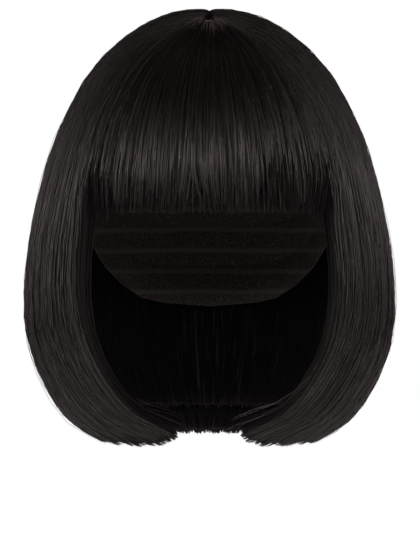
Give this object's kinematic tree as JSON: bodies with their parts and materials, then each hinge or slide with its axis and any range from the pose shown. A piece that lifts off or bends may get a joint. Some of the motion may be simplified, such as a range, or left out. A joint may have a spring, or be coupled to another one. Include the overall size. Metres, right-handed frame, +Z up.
{
  "type": "wig",
  "caption": "Chin-length bob wig with a full blunt fringe, a short parting at the crown and sides that curve in under the chin, on a net cap.",
  "frame": {"origin": "highest point of the cap's inside, where the crown of a head meets it", "axes": "+Z up; the face opening looks along -Y; +X is on the right of someone who faces the wig"},
  "size_m": [0.2096, 0.218, 0.2453],
  "materials": {
    "hair": "smooth synthetic hair with a soft sheen",
    "net": "matt stretch net",
    "skin_top": "matt strip under the parting"
  },
  "bodies": {
    "root": {"cap": "net", "parting": "skin_top", "fringe": "hair", "side_right": "hair", "side_left": "hair", "back": "hair", "nape_hair": "hair"}
  },
  "joints": []
}
